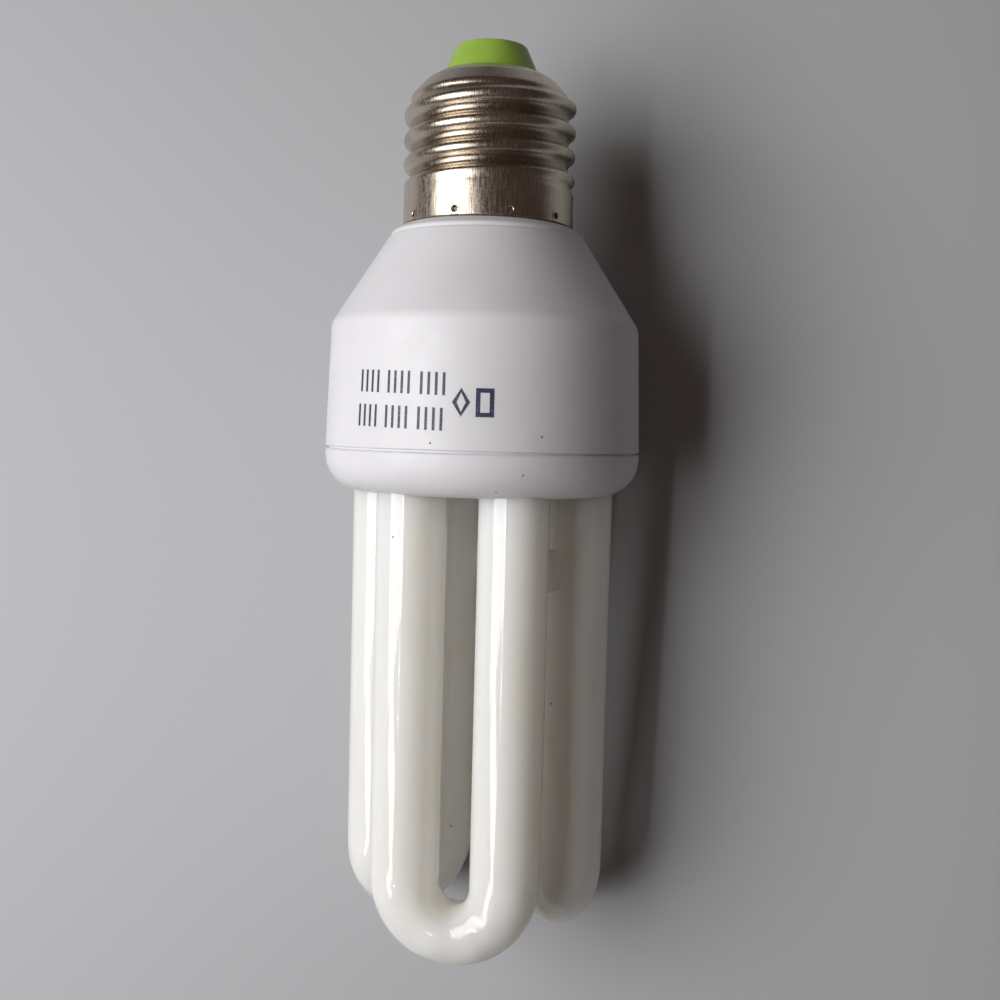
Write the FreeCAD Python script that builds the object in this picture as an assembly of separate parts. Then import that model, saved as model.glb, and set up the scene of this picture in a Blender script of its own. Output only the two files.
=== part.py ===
import FreeCAD, Part
import math
import os
from FreeCAD import Vector

# A compact fluorescent lamp: three U tubes fused into one discharge tube, a two-part housing
# that holds the ballast, and a standard 27 mm screw cap. All lengths are in millimetres.
#
# Each piece is modelled upright in the lamp's own frame. Z runs along the lamp with the cap at
# +Z, and Z = 0 is the plane where the two housing halves meet. Angles are counted about Z from
# +X, which is the side that faces up once the lamp lies on a table. The last step lays the lamp
# down as it comes to rest, on the rim of its housing and on two of its tubes.

# Screw cap
thread_pitch = 3.629
thread_crest_radius = 13.1
thread_depth = 1.1
thread_turns = 3.7
thread_phase = -38.0
thread_runout = 0.9
thread_steps = 6
sheet = 0.3
collar_radius = 12.95
collar_length = 5.1
shoulder_step = 0.8
shoulder_rise = 2.5
shoulder_bulge = 0.15
shoulder_bulge_level = 0.6
cap_hole_radius = 7.4

# Insulator and centre contact
insulator_top_radius = 5.4
insulator_rise = 4.4
insulator_flange = 1.2
flange_lap = 0.5
contact_radius = 3.6
contact_thickness = 0.4
shank_radius = 1.3
shank_stand = 0.6

# Discharge tube
tube_count = 3
tube_radius = 5.19
tube_ring_radius = 15.16
tube_reach = 75.95
bridge_radius = 3.6
bridge_depth = 17.8
leg_stub = 2.3

# Housing
leg_clearance = 0.6
skirt_height = 4.0
skirt_wall = 1.3
housing_wall = 1.6
drum_height = 18.6
drum_draft = 2.0
cone_height = 13.3
lip_radius = 14.75
lip_height = 1.55
lip_chamfer = 1.3
neck_wall = 1.6
neck_gap = 0.4
lower_height = 6.65
corner_radius = 5.5
plate_thickness = 2.0
seam_height = 0.5
seam_depth = 0.5
board_lap = 1.0
cement_depth = 3.0
cement_margin = 2.6

# Ballast
board_thickness = 1.6
lead_radius = 0.25
lead_spread = 2.4
pin_side = 0.8
pin_height = 5.0
smoothing_radius = 5.0
smoothing_height = 19.0
choke_width = 10.4
choke_height = 11.0
choke_depth = 5.0
choke_yoke = 1.8
choke_post = 3.2
choke_corner = 1.0
bobbin_wall = 0.5
winding_gap = 0.3
ring_radius = 4.6
ring_bore = 2.7
ring_height = 3.0
ring_wire = 0.4
ring_windings = 3
winding_arc = 44.0
transistor_size = (2.8, 6.6, 10.0)
transistor_stand = 3.0
transistor_leg = (0.5, 0.8)
resonance_size = (4.5, 8.0, 9.0)
blocking_size = (4.0, 8.0, 8.0)
rectifier_size = (3.4, 7.0, 3.0)
resistor_size = (1.6, 3.2, 0.6)
resistor_count = 6
fuse_radius = 1.7
fuse_length = 8.0
fuse_sink = 4.0
cable_radius = 0.5

# Clearances: a sliding fit, a hole round a leg or a lead, the room between parts on the board,
# and the room left for the live lead on the lamp's axis
fit = 0.1
hole_fit = 0.25
spacing = 0.8
lead_room = 3.2

# How far the free-standing ballast parts are from the axis
ring_distance = 12.6
resonance_distance = 10.4
blocking_distance = 12.6
resistor_distance = 7.5

# Two points closer than this are one, and the tilt at rest is found to within this many degrees
same_point = 1e-6
tilt_tolerance = 1e-9

# The legs stand evenly round a circle, and each U tube joins two neighbours
leg_step = 180.0 / tube_count
bend_radius = tube_ring_radius * math.sin(math.radians(leg_step / 2))
tube_plane = tube_ring_radius * math.cos(math.radians(leg_step / 2))
bend_level = bend_radius + tube_radius - tube_reach
middles = [2 * leg_step * i for i in range(tube_count)]
electrode_angles = (-leg_step / 2, -1.5 * leg_step)

# The housing closes round the legs: skirt, fit, drafted drum wall
draft = math.tan(math.radians(drum_draft))
skirt_bore = tube_ring_radius + tube_radius + leg_clearance
skirt_radius = skirt_bore + skirt_wall
drum_radius = skirt_radius + fit + skirt_height * draft + housing_wall
drum_top_radius = drum_radius - drum_height * draft
cone_slope = (drum_top_radius - lip_radius) / cone_height
neck_radius = collar_radius - sheet - fit
neck_bore = neck_radius - neck_wall
lower_round = min(corner_radius, lower_height - 2 * seam_height)

# The cap closes on the insulator's flange
thread_root_radius = thread_crest_radius - thread_depth
shoulder_radius = thread_root_radius - shoulder_step
flange_radius = cap_hole_radius + flange_lap
flat_radius = flange_radius + fit + sheet

# Each of the choke's two windows is half of what its post and its two outer legs leave open
choke_window = (choke_width - choke_post) / 4

# Levels along the lamp
cone_top = drum_height + cone_height
neck_base = cone_top + lip_height
neck_top = neck_base + collar_length - neck_gap
collar_top = neck_base + collar_length
thread_base = collar_top + thread_runout
thread_top = thread_base + thread_turns * thread_pitch
shoulder_base = thread_top + thread_runout
cap_top = shoulder_base + shoulder_rise
insulator_top = cap_top + insulator_rise
shank_base = cap_top - sheet - insulator_flange - shank_stand
board_base = skirt_height
board_top = board_base + board_thickness
plate_top = plate_thickness - lower_height
cement_top = plate_top + cement_depth
leg_top = cement_top + leg_stub
fuse_base = neck_base - fuse_sink

# Places on the board, as a radius and an angle
choke_place = (choke_width / 2 + lead_room, 22.0)
smoothing_place = (smoothing_radius + lead_room, 180.0)
ring_place = (ring_distance, 122.0)
resonance_place = (resonance_distance, -60.0)
blocking_place = (blocking_distance, -130.0)
rectifier_place = (smoothing_place[0] + smoothing_radius + spacing + rectifier_size[0] / 2, 190.0)
transistor_radius = math.hypot(choke_place[0] + choke_width / 2, choke_width / 2) + spacing
transistor_angles = (66.0, -6.0)
neutral_angle = 80.0

Z = Vector(0, 0, 1)


def at(radius, angle, z=0.0):
    """A point by its radius and angle about the lamp's axis."""
    a = math.radians(angle)
    return Vector(radius * math.cos(a), radius * math.sin(a), z)


def rod(radius, low, high, place=Vector()):
    """A round bar along Z."""
    return Part.makeCylinder(radius, high - low, Vector(place.x, place.y, low))


def level_circle(radius, centre):
    return Part.Wire(Part.makeCircle(radius, centre, Z))


def turned(outline):
    """A solid turned about Z from (radius, z) points, where an entry of three points is an arc."""
    edges = []
    last = None
    for entry in outline:
        points = [Vector(r, 0, z) for r, z in (entry if isinstance(entry[0], tuple) else (entry,))]
        if last is None:
            first = points[0]
        elif (points[0] - last).Length > same_point:
            edges.append(Part.makeLine(last, points[0]))
        if len(points) == 3:
            edges.append(Part.Arc(*points).toShape())
        last = points[-1]
    edges.append(Part.makeLine(last, first))
    return Part.Face(Part.Wire(edges)).revolve(Vector(), Z, 360)


def block(size, place, base):
    """A box that stands on a level. Its size is along the radius, across it, and up."""
    deep, wide, high = size
    radius, angle = place
    box = Part.makeBox(deep, wide, high, Vector(radius - deep / 2, -wide / 2, base))
    return box.rotate(Vector(), Z, angle)


def moved_out(shape, place):
    """A shape made on the axis, moved out to its place."""
    moved = shape.copy()
    moved.translate(at(*place))
    return moved


# Screw cap

def thread_section(z):
    """A level cut through the rolled thread: a circle whose centre winds round the axis."""
    swing = thread_depth / 2
    angle = thread_phase + 360 * (z - thread_base) / thread_pitch
    return level_circle(thread_crest_radius - swing, at(swing, angle, z))


def shell_outside():
    """The collar, the thread and the shoulder, lofted through level circles.

    The thread is cut into a few steps for each turn, which keeps its facets few.
    """
    count = round(thread_turns * thread_steps)
    rise = (thread_top - thread_base) / count
    middle = (shoulder_radius + flat_radius) / 2 + shoulder_bulge
    sections = [level_circle(collar_radius, at(0, 0, z)) for z in (neck_base, collar_top)]
    sections += [thread_section(thread_base + rise * i) for i in range(count + 1)]
    sections += [
        level_circle(shoulder_radius, at(0, 0, shoulder_base)),
        level_circle(middle, at(0, 0, shoulder_base + shoulder_rise * shoulder_bulge_level)),
        level_circle(flat_radius, at(0, 0, cap_top)),
    ]
    return Part.makeLoft(sections, True, True)


def screw_shell():
    """The sheet-metal shell. Inside it is bored plain, one sheet under the thread's root."""
    bore = thread_root_radius - sheet
    inside = turned([
        (0, neck_base),
        (collar_radius - sheet, neck_base),
        (collar_radius - sheet, collar_top),
        (bore, collar_top),
        (bore, thread_top),
        (shoulder_radius - sheet, shoulder_base),
        (flat_radius - sheet, cap_top - sheet),
        (cap_hole_radius, cap_top - sheet),
        (cap_hole_radius, cap_top),
        (0, cap_top),
    ])
    return shell_outside().cut(inside)


def cap_insulator():
    """The insulator grips the sheet between its cone and a flange inside the cap."""
    flange_top = cap_top - sheet
    return turned([
        (shank_radius, flange_top - insulator_flange),
        (flange_radius, flange_top - insulator_flange),
        (flange_radius, flange_top),
        (cap_hole_radius, flange_top),
        (cap_hole_radius, cap_top),
        (insulator_top_radius, insulator_top),
        (shank_radius, insulator_top),
    ])


def centre_contact():
    """A rivet through the insulator. The live lead is soldered to the end of its shank."""
    return turned([
        (0, shank_base),
        (shank_radius, shank_base),
        (shank_radius, insulator_top),
        (contact_radius, insulator_top),
        (contact_radius - contact_thickness, insulator_top + contact_thickness),
        (0, insulator_top + contact_thickness),
    ])


# Housing

def upper_hollow():
    """The room for the ballast. A ledge in its wall presses the board onto the lower skirt."""
    drum_inside = drum_radius - housing_wall
    ledge = skirt_radius - board_lap
    offset = housing_wall * math.hypot(1, cone_slope)
    corner = drum_height + (drum_top_radius - offset - ledge) / cone_slope
    bore_level = drum_height + (drum_top_radius - offset - neck_bore) / cone_slope
    return turned([
        (0, 0),
        (drum_inside, 0),
        (drum_inside - board_top * draft, board_top),
        (ledge, board_top),
        (ledge, corner),
        (neck_bore, bore_level),
        (neck_bore, neck_top),
        (0, neck_top),
    ])


def upper_housing():
    """A drafted drum, a cone, a lip under the cap and a neck that the cap is crimped to."""
    form = turned([
        (0, 0),
        (drum_radius, 0),
        (drum_top_radius, drum_height),
        (lip_radius, cone_top),
        (lip_radius, neck_base - lip_chamfer),
        (neck_radius + lip_chamfer / 2, neck_base),
        (neck_radius, neck_base),
        (neck_radius, neck_top),
        (0, neck_top),
    ])
    return form.cut(upper_hollow())


def leg_bars(radius, low, high):
    """A bar at the place of each leg of the discharge tube."""
    angles = [middle + side * leg_step / 2 for middle in middles for side in (-1, 1)]
    bars = [rod(radius, low, high, at(tube_ring_radius, angle)) for angle in angles]
    return bars[0].multiFuse(bars[1:])


def lower_housing():
    """A round-bottomed cup with a hole for each leg, and a skirt that fits the upper housing."""
    centre = drum_radius - lower_round
    slant = lower_round * math.sqrt(0.5)
    form = turned([
        (0, -lower_height),
        ((centre, -lower_height), (centre + slant, lower_round - lower_height - slant),
         (drum_radius, lower_round - lower_height)),
        (drum_radius, -seam_height),
        (drum_radius - seam_depth, -seam_height),
        (drum_radius - seam_depth, 0),
        (skirt_radius, 0),
        (skirt_radius, skirt_height),
        (0, skirt_height),
    ])
    cup = turned([
        (0, plate_top),
        (skirt_bore - plate_thickness, plate_top),
        (skirt_bore, plate_top + plate_thickness),
        (skirt_bore, skirt_height),
        (0, skirt_height),
    ])
    holes = leg_bars(tube_radius + hole_fit, -lower_height, plate_top + plate_thickness)
    return form.cut(cup).cut(holes)


# Discharge tube

def u_tube(middle):
    """One U: two legs and the half turn between them."""
    legs = [
        rod(tube_radius, bend_level, leg_top, Vector(tube_plane, side * bend_radius, 0))
        for side in (-1, 1)
    ]
    ring = Part.Face(level_circle(tube_radius, Vector(tube_plane, -bend_radius, bend_level)))
    bend = ring.revolve(Vector(tube_plane, 0, bend_level), Vector(1, 0, 0), 180)
    return bend.multiFuse(legs).rotate(Vector(), Z, middle)


def bridge(angle):
    """The fused neck between neighbouring legs of two U tubes."""
    start = at(tube_ring_radius, angle - leg_step / 2, -bridge_depth)
    end = at(tube_ring_radius, angle + leg_step / 2, -bridge_depth)
    run = end - start
    return Part.makeCylinder(bridge_radius, run.Length, start, run)


def discharge_tube():
    tubes = [u_tube(middle) for middle in middles]
    bridges = [bridge(middle + leg_step) for middle in middles[:-1]]
    return tubes[0].multiFuse(tubes[1:] + bridges)


def tube_cement():
    """The cement between the legs, poured on the plate of the lower housing."""
    puddle = rod(tube_ring_radius - cement_margin, plate_top, cement_top)
    return puddle.cut(leg_bars(tube_radius, plate_top, cement_top))


# Ballast

def lead_places():
    """Where the tube's leads rise: two above each electrode leg."""
    places = []
    for angle in electrode_angles:
        for side in (-0.5, 0.5):
            places.append((at(tube_ring_radius, angle) + at(side * lead_spread, angle + 90), angle))
    return places


def square_post(side, low, high, place, angle):
    post = Part.makeBox(side, side, high - low, Vector(-side / 2, -side / 2, low))
    post.rotate(Vector(), Z, angle)
    post.translate(place)
    return post


def circuit_board():
    board = rod(skirt_radius, board_base, board_top)
    hole = 2 * (lead_radius + hole_fit)
    for place, angle in lead_places():
        board = board.cut(square_post(hole, board_base, board_top, place, angle))
    return board


def tube_leads():
    """The four lead wires, drawn square, from the ends of two legs up to the pins."""
    top = board_top + pin_height
    return [square_post(2 * lead_radius, leg_top, top, place, angle) for place, angle in lead_places()]


def wrap_pins():
    top = board_top + pin_height
    reach = lead_radius + pin_side / 2
    return [
        square_post(pin_side, board_top, top, place + at(reach, angle), angle)
        for place, angle in lead_places()
    ]


def smoothing_capacitor():
    return rod(smoothing_radius, board_top, board_top + smoothing_height, at(*smoothing_place))


def choke_block(deep, wide, low, high, aside=0.0):
    radius, angle = choke_place
    box = block((wide, deep, high - low), (radius + aside, 0), board_top + low)
    return box.rotate(Vector(), Z, angle)


def choke_core():
    """Two E halves face to face: an outer frame and a middle post, with two windows."""
    top = choke_height - choke_yoke
    core = choke_block(choke_depth, choke_width, 0, choke_height)
    for side in (-1, 1):
        aside = side * (choke_post + choke_window) / 2
        core = core.cut(choke_block(choke_depth, choke_window, choke_yoke, top, aside))
    return core


def choke_bobbin():
    """A square sleeve on the middle post, with a flange at each end of the winding."""
    low = choke_yoke
    high = choke_height - choke_yoke
    reach = 2 * choke_window
    sleeve = choke_block(choke_depth + 2 * bobbin_wall, choke_post + 2 * bobbin_wall, low, high)
    flanges = [
        choke_block(choke_depth + reach, choke_post + reach, level, level + bobbin_wall)
        for level in (low, high - bobbin_wall)
    ]
    body = sleeve.multiFuse(flanges)
    return body.cut(choke_block(choke_depth, choke_post, low, high)).removeSplitter()


def choke_winding():
    low = choke_yoke + bobbin_wall
    high = choke_height - choke_yoke - bobbin_wall
    reach = 2 * (choke_window - winding_gap)
    sleeve = 2 * bobbin_wall
    body = choke_block(choke_depth + reach, choke_post + reach, low, high)
    upright = [edge for edge in body.Edges if edge.BoundBox.ZLength > (high - low) / 2]
    body = body.makeFillet(min(choke_corner, choke_window / 2), upright)
    return body.cut(choke_block(choke_depth + sleeve, choke_post + sleeve, low, high))


def ring_section(grow, low, high):
    """A square-edged ring on the axis: the core's own size, or grown by the wire that wraps it."""
    inside = ring_bore - grow
    outside = ring_radius + grow
    return turned([(inside, low), (outside, low), (outside, high), (inside, high)])


def transformer_core():
    base = board_top + ring_wire
    return moved_out(ring_section(0, base, base + ring_height), ring_place)


def transformer_windings():
    """The windings wrap the ring in short sleeves, evenly spaced."""
    base = board_top + ring_wire
    top = base + ring_height
    jacket = ring_section(ring_wire, board_top, top + ring_wire).cut(ring_section(0, base, top))
    foot = Vector(0, 0, board_top)
    windings = []
    for i in range(ring_windings):
        sector = Part.makeCylinder(2 * ring_radius, top + ring_wire - board_top, foot, Z, winding_arc)
        sector.rotate(Vector(), Z, i * 360 / ring_windings)
        windings.append(moved_out(jacket.common(sector), ring_place))
    return windings


def transistors():
    """Two flat cases, each on three legs."""
    deep, wide, high = transistor_size
    radius = transistor_radius + deep / 2
    cases = []
    for angle in transistor_angles:
        case = block(transistor_size, (radius, angle), board_top + transistor_stand)
        for step in (-1, 0, 1):
            leg = block((*transistor_leg, transistor_stand), (radius, 0), board_top)
            leg.translate(Vector(0, step * wide / 3, 0))
            case = case.fuse(leg.rotate(Vector(), Z, angle))
        cases.append(case)
    return cases


def resonance_capacitor():
    return block(resonance_size, resonance_place, board_top)


def blocking_capacitor():
    return block(blocking_size, blocking_place, board_top)


def rectifier_bridge():
    return block(rectifier_size, rectifier_place, board_top)


def chip_resistors():
    """Small flat resistors on the underside of the board."""
    base = board_base - resistor_size[2]
    angles = [360 * i / resistor_count for i in range(resistor_count)]
    return [block(resistor_size, (resistor_distance, angle), base) for angle in angles]


def fusible_resistor():
    return rod(fuse_radius, fuse_base, fuse_base + fuse_length)


def live_lead():
    """One run from the board to the fusible resistor, and one from there to the contact."""
    runs = [(board_top, fuse_base), (fuse_base + fuse_length, shank_base)]
    return [rod(cable_radius, low, high) for low, high in runs]


def neutral_lead():
    """It rises through the neck and turns out to the inside of the screw shell."""
    place = neck_bore - cable_radius - fit
    wall = thread_root_radius - sheet
    bend = neck_top + cable_radius + fit
    route = Part.makePolygon([
        Vector(place, 0, board_top),
        Vector(place, 0, bend),
        Vector(wall, 0, bend + (wall - place)),
    ])
    lead = route.makePipeShell([level_circle(cable_radius, Vector(place, 0, board_top))], True, False, 1)
    bore = rod(wall, board_top, shoulder_base)
    return lead.common(bore).rotate(Vector(), Z, neutral_angle)


# The lamp at rest

def support(tilt):
    """How far the housing and the tubes reach below the lamp's axis when it leans by a tilt."""
    s = math.sin(math.radians(tilt))
    c = math.cos(math.radians(tilt))
    rim = (lower_height - lower_round) * s + (drum_radius - lower_round) * c + lower_round
    bends = [
        -bend_level * s
        - tube_plane * math.cos(math.radians(middle)) * c
        + bend_radius * math.hypot(s, math.sin(math.radians(middle)) * c)
        + tube_radius
        for middle in middles
    ]
    return rim, max(bends)


def rest_tilt():
    """The tilt at which the rim of the lower housing and the tubes touch the table together."""
    low, high = 0.0, 45.0
    while high - low > tilt_tolerance:
        tilt = (low + high) / 2
        rim, tubes = support(tilt)
        if tubes < rim:
            low = tilt
        else:
            high = tilt
    return low


def lay_down(shape):
    """Turns the lamp's axis from Z to Y and its upper side to Z, and then leans the cap up."""
    shape.rotate(Vector(), Vector(1, 1, 1), -120)
    shape.rotate(Vector(), Vector(1, 0, 0), rest_tilt())


pieces = {
    "centre_contact": centre_contact,
    "cap_insulator": cap_insulator,
    "screw_shell": screw_shell,
    "upper_housing": upper_housing,
    "lower_housing": lower_housing,
    "discharge_tube": discharge_tube,
    "tube_cement": tube_cement,
    "circuit_board": circuit_board,
    "tube_leads": tube_leads,
    "wrap_pins": wrap_pins,
    "smoothing_capacitor": smoothing_capacitor,
    "choke_core": choke_core,
    "choke_bobbin": choke_bobbin,
    "choke_winding": choke_winding,
    "transformer_core": transformer_core,
    "transformer_windings": transformer_windings,
    "transistors": transistors,
    "resonance_capacitor": resonance_capacitor,
    "blocking_capacitor": blocking_capacitor,
    "rectifier_bridge": rectifier_bridge,
    "chip_resistors": chip_resistors,
    "fusible_resistor": fusible_resistor,
    "live_lead": live_lead,
    "neutral_lead": neutral_lead,
}


def main():
    os.makedirs("parts", exist_ok=True)
    shapes = {}
    for name, make in pieces.items():
        shape = make()
        shapes[name] = Part.makeCompound(shape) if isinstance(shape, list) else shape
        lay_down(shapes[name])
    box = Part.makeCompound(list(shapes.values())).optimalBoundingBox(False, False)
    to_origin = Vector(-box.Center.x, -box.Center.y, -box.ZMin)
    for name, shape in shapes.items():
        shape.translate(to_origin)
        shape.exportStep(f"parts/{name}.step")
        print(name, len(shape.Solids), round(shape.Volume, 1), shape.isValid())
    print("box", round(box.XLength, 2), round(box.YLength, 2), round(box.ZLength, 2))
    print("leans", round(rest_tilt(), 3), "moved by", to_origin)


main()
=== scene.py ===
# %% [markdown]
# # A compact fluorescent lamp, lying where it was put down
#
# The lamp has three U-shaped glass tubes, a white plastic housing in two halves, and a
# nickel-plated screw cap with a green insulator at its end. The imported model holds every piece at
# its real size, also the ballast inside the housing. Here each piece that can be seen is modelled
# again with softer edges and finer curves, and every piece gets its finish.

# %% Load the frame and keep its box
import math

import bmesh
import bpy
from mathutils import Matrix, Vector


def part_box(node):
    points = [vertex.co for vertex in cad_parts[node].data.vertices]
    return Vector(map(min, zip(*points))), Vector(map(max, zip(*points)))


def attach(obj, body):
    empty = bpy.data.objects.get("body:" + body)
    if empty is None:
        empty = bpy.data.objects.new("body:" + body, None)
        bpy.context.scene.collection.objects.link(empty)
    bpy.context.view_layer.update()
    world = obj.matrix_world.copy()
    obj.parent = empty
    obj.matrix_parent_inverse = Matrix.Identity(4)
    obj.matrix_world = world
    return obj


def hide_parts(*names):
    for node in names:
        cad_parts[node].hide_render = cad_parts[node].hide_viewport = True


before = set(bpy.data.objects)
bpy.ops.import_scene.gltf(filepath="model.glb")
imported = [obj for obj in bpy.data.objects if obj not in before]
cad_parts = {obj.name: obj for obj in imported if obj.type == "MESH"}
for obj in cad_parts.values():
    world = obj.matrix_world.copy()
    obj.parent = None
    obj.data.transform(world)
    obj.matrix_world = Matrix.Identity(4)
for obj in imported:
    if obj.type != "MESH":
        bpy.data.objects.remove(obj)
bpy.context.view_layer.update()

print("nodes in the frame:", len(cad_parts))

# %% [markdown]
# ## The lamp's own frame
#
# A lamp like this is drawn upright: its axis is Z, the cap is at the top, and Z = 0 is the seam
# between the two halves of the housing. The lamp in the frame lies down, on the rim of its housing
# and on two of its tubes, so its axis leans a little. One matrix takes a point from the lamp's
# upright millimetres to the frame's metres. The circuit board is a plain disc on the axis, which
# makes the middle of its box a sure point to hang the matrix on.

# %% From upright millimetres to the lamp at rest
mm = 0.001
lean = math.radians(5.2821)
board_middle_height = 4.8

board_low, board_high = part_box("circuit_board")
axis = Vector((0, math.cos(lean), math.sin(lean)))
upper_side = Vector((0, -math.sin(lean), math.cos(lean)))
right_side = Vector((1, 0, 0))
seam_centre = (board_low + board_high) / 2 - axis * board_middle_height * mm

turn = Matrix((upper_side, right_side, axis)).transposed()
at_rest = Matrix.Translation(seam_centre) @ turn.to_4x4() @ Matrix.Scale(mm, 4)
print("the seam's centre lies at", seam_centre)

# %% [markdown]
# ## A small kit for turned parts
#
# The housing, the cap, the insulator and the contact are all round, so each is spun from an
# outline. An outline is a list of corners, and each corner says how far it is rounded. Real
# moulded and pressed edges are never sharp, and a rounded edge is what catches a thin line of
# light. Beside each rounding a further point holds the flat stretch flat, because the shading is
# blended over the whole face that lies next to a curve.

# %% Outlines with rounded corners
rounding_steps = 6
hold = 1.12


def rounded(corners, closed):
    """Points of an outline, from corners that are each a radius, a height and a rounding."""
    points = []
    count = len(corners)
    for i, (radius, height, rounding) in enumerate(corners):
        here = Vector((radius, height))
        if rounding == 0 or (not closed and i in (0, count - 1)):
            points.append(here)
            continue
        before = (Vector(corners[i - 1][:2]) - here).normalized()
        after = (Vector(corners[(i + 1) % count][:2]) - here).normalized()
        half = before.angle(after) / 2
        reach = rounding / math.tan(half)
        centre = here + (before + after).normalized() * rounding / math.sin(half)
        start = here + before * reach - centre
        end = here + after * reach - centre
        points.append(here + before * reach * hold)
        for step in range(rounding_steps + 1):
            points.append(centre + start.slerp(end, step / rounding_steps) * rounding)
        points.append(here + after * reach * hold)
    return points


# %% The spin, and places round the axis
def spun(points, closed, columns):
    """Spins an outline once round the axis. A closed outline makes a ring."""
    bm = bmesh.new()
    verts = [bm.verts.new((radius, 0, height)) for radius, height in points]
    pairs = list(zip(verts, verts[1:]))
    if closed:
        pairs.append((verts[-1], verts[0]))
    edges = [bm.edges.new(pair) for pair in pairs]
    bmesh.ops.spin(bm, geom=verts + edges, cent=(0, 0, 0), axis=(0, 0, 1),
                   angle=math.tau, steps=columns, use_merge=True)
    bmesh.ops.remove_doubles(bm, verts=bm.verts, dist=0.0005)
    bmesh.ops.recalc_face_normals(bm, faces=bm.faces)
    return bm


def angle_of(point):
    """The angle of a point about the lamp's axis, counted from its upper side."""
    return math.degrees(math.atan2(point.y, point.x))


def around(radius, degrees, height=0.0):
    """A point by its radius and angle about the lamp's axis."""
    turned_by = math.radians(degrees)
    return Vector((radius * math.cos(turned_by), radius * math.sin(turned_by), height))


# %% Lay a finished mesh down and hand it to the frame
sharp_above = math.radians(40)


def place(bm, name, nodes, material):
    """Lays an upright mesh down, and makes it the piece that stands for some nodes."""
    bmesh.ops.transform(bm, matrix=at_rest, verts=bm.verts)
    mesh = bpy.data.meshes.new(name)
    bm.to_mesh(mesh)
    bm.free()
    mesh.polygons.foreach_set("use_smooth", [True] * len(mesh.polygons))
    mesh.set_sharp_from_angle(angle=sharp_above)
    mesh.materials.append(material)
    piece = bpy.data.objects.new(name, mesh)
    bpy.context.collection.objects.link(piece)
    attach(piece, "root")
    if nodes:
        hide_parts(*nodes)
    print(name, "has", len(mesh.polygons), "faces")
    return piece


# %% [markdown]
# ## A small kit for finishes
#
# A finish is a net of nodes. The pattern in it has to stay on the piece from every side, so it is
# worked out from the place on the object, not from the view. A Mapping node takes that place back
# to the lamp's upright millimetres, where a streak along the cap is a streak along Z, and where a
# speck has the same place as on a drawing.

# %% Nodes and materials
def node(material, kind, inputs=None, **settings):
    """Adds a node. An input is a plain value, or the socket of another node."""
    tree = material.node_tree
    made = tree.nodes.new("ShaderNode" + kind)
    for name, value in settings.items():
        setattr(made, name, value)
    for socket, value in (inputs or {}).items():
        if isinstance(value, bpy.types.NodeSocket):
            tree.links.new(value, made.inputs[socket])
        else:
            made.inputs[socket].default_value = value
    return made


def finish(name, colour, roughness, **sockets):
    """A material with its Principled shader. Constants go straight onto its sockets."""
    material = bpy.data.materials.new(name)
    material.use_nodes = True
    shader = material.node_tree.nodes["Principled BSDF"]
    shader.inputs["Base Color"].default_value = (*colour, 1)
    shader.inputs["Roughness"].default_value = roughness
    for socket, value in sockets.items():
        shader.inputs[socket.replace("_", " ")].default_value = value
    return material, shader


# %% Places and patterns
to_upright = at_rest.inverted()


def upright(material):
    """The place on the piece, in the lamp's upright millimetres."""
    place_node = node(material, "TexCoord")
    location, rotation, scale = to_upright.decompose()
    mapped = node(material, "Mapping", {
        "Vector": place_node.outputs["Object"],
        "Location": location,
        "Rotation": rotation.to_euler(),
        "Scale": scale,
    }, vector_type="POINT")
    return mapped.outputs["Vector"]


def stretched(material, vector, scale):
    """Squeezes a pattern's place, so that its grain runs long in one direction."""
    return node(material, "Mapping", {"Vector": vector, "Scale": scale}).outputs["Vector"]


def noise(material, vector, size, detail=3.0):
    """A cloudy value from 0 to 1, with patches of about this size in millimetres."""
    made = node(material, "TexNoise", {"Vector": vector, "Scale": 1 / size, "Detail": detail})
    return made.outputs["Factor"] if "Factor" in made.outputs else made.outputs["Fac"]


def ranged(material, value, low, high, new_low=0.0, new_high=1.0):
    """Takes a value's range to another, smoothly, and clamps it there."""
    made = node(material, "MapRange", {
        "Value": value, "From Min": low, "From Max": high, "To Min": new_low, "To Max": new_high,
    }, interpolation_type="SMOOTHSTEP")
    return made.outputs["Result"]


def calc(material, operation, first, second=0.0):
    """One sum on two values."""
    made = node(material, "Math", {0: first, 1: second}, operation=operation)
    return made.outputs["Value"]


# %% [markdown]
# The Mix node has sockets for numbers, vectors and colours, all with the same names, and a name
# picks the first of them. So the colour sockets are chosen by their place in the list.

# %% Colours, bumps and scattering
colour_factor, colour_a, colour_b, colour_out = 0, 6, 7, 2


def mixed(material, factor, first, second):
    """Mixes two colours. Each is a plain colour or a socket."""
    sides = [side if isinstance(side, bpy.types.NodeSocket) else (*side, 1) for side in (first, second)]
    made = node(material, "Mix", {
        colour_factor: factor, colour_a: sides[0], colour_b: sides[1],
    }, data_type="RGBA")
    return made.outputs[colour_out]


def bumped(material, shader, height, depth):
    """Raises the surface by a pattern, with its depth in millimetres."""
    made = node(material, "Bump", {"Height": height, "Strength": 1.0, "Distance": depth * mm})
    material.node_tree.links.new(made.outputs["Normal"], shader.inputs["Normal"])


def coloured(material, shader, colour):
    material.node_tree.links.new(colour, shader.inputs["Base Color"])


def roughened(material, shader, value):
    material.node_tree.links.new(value, shader.inputs["Roughness"])


def scattering(shader, weight, reach_of_colours, depth):
    """Lets light in and out again nearby, up to about a depth in millimetres."""
    shader.inputs["Subsurface Weight"].default_value = weight
    shader.inputs["Subsurface Radius"].default_value = reach_of_colours
    shader.inputs["Subsurface Scale"].default_value = depth * mm


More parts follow.
